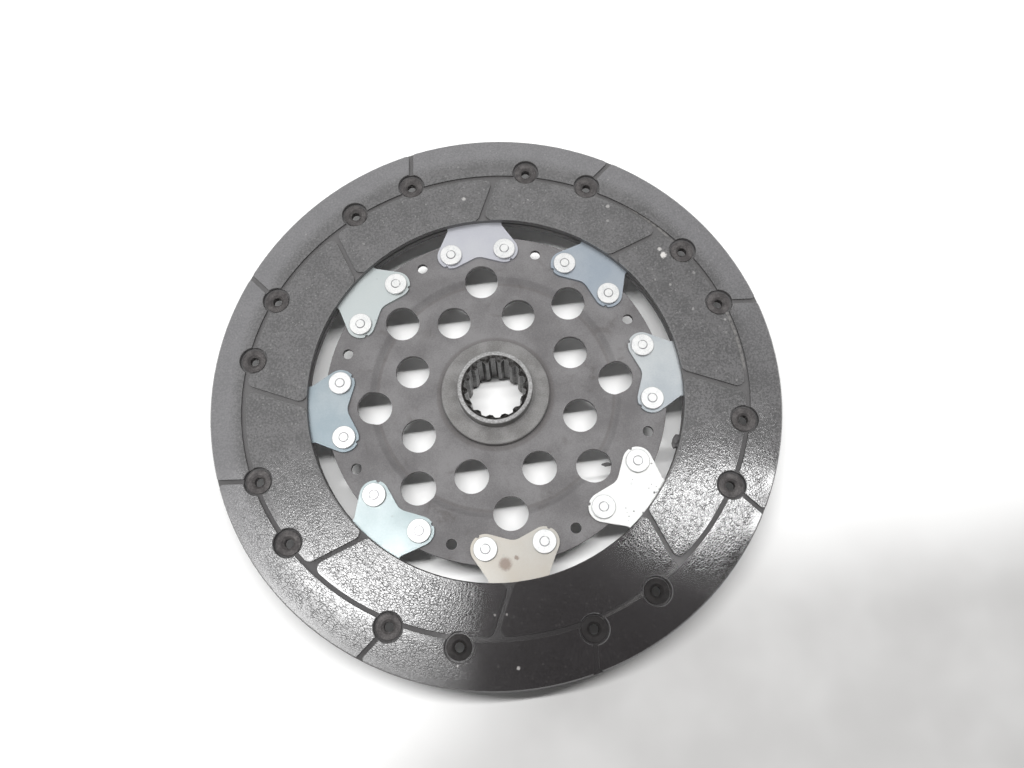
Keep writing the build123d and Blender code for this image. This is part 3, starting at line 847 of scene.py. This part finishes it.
def make_floor():
    """Plain pale floor with a painted shadow at the front right, clear from beneath, that keeps the
    disc's shadow."""
    bpy.ops.mesh.primitive_plane_add(size=FLOOR_SIZE, location=(0, 0, 0))
    floor = bpy.context.object
    floor.name = "floor"
    material = bpy.data.materials.new("pale floor")
    material.use_nodes = True
    tree = Tree(material.node_tree)
    shader = material.node_tree.nodes["Principled BSDF"]
    place = tree.group("Disc place")
    parts = tree.split(place["Place"])
    rightward = tree.math("SMOOTH_MIN", parts["X"], FLOOR_SLANT_END, FLOOR_SLANT_BEND)
    forward = tree.plus(tree.times(parts["Y"], -1.0), tree.times(rightward, FLOOR_SLANT))
    near = tree.ramp(place["Radius"], *FLOOR_SHADOW_END)
    cloud = tree.ramp(tree.noise(place["Place"], 60.0, 3.0), 0.3, 0.7, 0.85, 1.0)
    # painted shadow at the front right, fading far out
    grey = tree.times(tree.ramp(forward, *FLOOR_SHADOW_REACH), near, cloud)
    tree.feed(shader.inputs["Base Color"], tree.blend(grey, FLOOR_PALE, FLOOR_PAINTED_SHADOW))
    shader.inputs["Roughness"].default_value = 0.9
    shader.inputs["Specular IOR Level"].default_value = 0.0
    beneath = tree.add("ShaderNodeNewGeometry").outputs["Backfacing"]
    clear = tree.add("ShaderNodeBsdfTransparent").outputs[0]
    mix = tree.add("ShaderNodeMixShader", {0: beneath, 1: shader.outputs[0], 2: clear})
    tree.feed(material.node_tree.nodes["Material Output"].inputs["Surface"], mix.outputs[0])
    floor.data.materials.append(material)


LAMP_HEIGHT = 0.8
# the tube lamp that lights the scene: lowest and highest x, then y
TUBE = ((-0.36, 0.37), (0.015, 0.045))
TUBE_WATTS = 8.1
# two soft panels beside it that only shiny surfaces mirror
LEFT_PANEL = ((-0.36, -0.095), (-0.06, 0.062))
RIGHT_PANEL = ((0.178, 0.36), (-0.003, 0.07))
LEFT_RADIANCE = 8.8
RIGHT_RADIANCE = 11.5


def make_lamp(name, across, along, watts):
    """A flat lamp that shines straight down, from its lowest and highest x and y."""
    data = bpy.data.lights.new(name, "AREA")
    data.shape = "RECTANGLE"
    data.size = across[1] - across[0]
    data.size_y = along[1] - along[0]
    data.energy = watts
    lamp = bpy.data.objects.new(name, data)
    lamp.location = (sum(across) / 2, sum(along) / 2, LAMP_HEIGHT)
    bpy.context.scene.collection.objects.link(lamp)
    return lamp


def make_panel(name, across, along, radiance):
    """A panel that lights nothing and shows in shiny surfaces at a plain radiance."""
    area = (across[1] - across[0]) * (along[1] - along[0])
    panel = make_lamp(name, across, along, radiance * pi * area)
    panel.visible_diffuse = False


def make_lamps():
    """The tube lamp and the two panels."""
    tube = make_lamp("tube lamp", *TUBE, TUBE_WATTS)
    tube.visible_glossy = False
    make_panel("left panel", *LEFT_PANEL, LEFT_RADIANCE)
    make_panel("right panel", *RIGHT_PANEL, RIGHT_RADIANCE)


# how bright the room is overhead: behind and left of the disc, at its right, and at the dark front
ROOM_LEVEL = 0.88
SIDE_LEVEL = 0.7
FRONT_LEVEL = 0.05
# how bright it is low down, as light on the disc and as seen in a reflection
LOW_LEVEL = 0.2
LOW_WHITE = 1.0
# the share of the room's light that falls on matt surfaces
SOFT_SHARE = 0.68


def make_world():
    """Soft room light, dark overhead at the front right, with a plain white background."""
    world = bpy.data.worlds.new("soft room")
    bpy.context.scene.world = world
    world.use_nodes = True
    world.node_tree.nodes.clear()
    tree = Tree(world.node_tree)
    parts = tree.split(tree.add("ShaderNodeTexCoord").outputs["Generated"])
    upward = tree.math("MAXIMUM", parts["Z"], 0.05)
    backward = tree.math("DIVIDE", parts["Y"], upward)
    rightward = tree.math("DIVIDE", parts["X"], upward)
    overhead = tree.ramp(parts["Z"], 0.5, 0.75)
    front = tree.times(tree.ramp(backward, 0.15, 0.09), tree.ramp(rightward, -0.12, -0.06))
    dark = tree.times(front, overhead)
    side = tree.ramp(rightward, 0.14, 0.3, ROOM_LEVEL, SIDE_LEVEL)
    rays = tree.add("ShaderNodeLightPath").outputs
    seen = tree.largest(rays["Is Camera Ray"], rays["Is Glossy Ray"], rays["Is Transmission Ray"])
    backgrounds = []
    for low, share in ((LOW_LEVEL, SOFT_SHARE), (LOW_WHITE, 1.0)):
        level = tree.plus(low, tree.times(overhead, tree.minus(side, low)))
        level = tree.plus(level, tree.times(dark, tree.minus(FRONT_LEVEL, level)))
        level = tree.largest(tree.times(level, share), rays["Is Camera Ray"])
        background = tree.add("ShaderNodeBackground", {"Strength": level})
        background.inputs["Color"].default_value = (1.0, 1.0, 1.0, 1.0)
        backgrounds.append(background.outputs[0])
    mix = tree.add("ShaderNodeMixShader", {0: seen, 1: backgrounds[0], 2: backgrounds[1]})
    output = tree.add("ShaderNodeOutputWorld")
    tree.feed(output.inputs["Surface"], mix.outputs[0])


# the camera: the point it looks at, its distance in metres, its height over the floor and its
# bearing round the axis in degrees, and its roll
AIM = Vector((7.334, 1.172, 25.0)) * MM
CAMERA_DISTANCE = 0.34595
CAMERA_ELEVATION = 72.919
CAMERA_BEARING = 265.465
CAMERA_ROLL = -2.897
LENS = 28.845
SENSOR_WIDTH = 36.0


def make_camera():
    """Camera above the front of the disc, tilted down and rolled a little."""
    flat = polar(CAMERA_BEARING, cos(radians(CAMERA_ELEVATION)))
    outward = flat + Vector((0, 0, sin(radians(CAMERA_ELEVATION))))
    level_right = Vector((0, 0, 1)).cross(outward).normalized()
    level_up = outward.cross(level_right)
    roll = radians(CAMERA_ROLL)
    right = cos(roll) * level_right + sin(roll) * level_up
    up = outward.cross(right)
    data = bpy.data.cameras.new("camera")
    data.lens = LENS
    data.sensor_width = SENSOR_WIDTH
    data.clip_start = 0.01
    camera = bpy.data.objects.new("camera", data)
    turn = Matrix((right, up, outward)).transposed().to_4x4()
    camera.matrix_world = Matrix.Translation(AIM + outward * CAMERA_DISTANCE) @ turn
    bpy.context.scene.collection.objects.link(camera)
    bpy.context.scene.camera = camera


make_floor()
make_lamps()
make_world()
make_camera()
bpy.context.scene.view_settings.view_transform = "Standard"
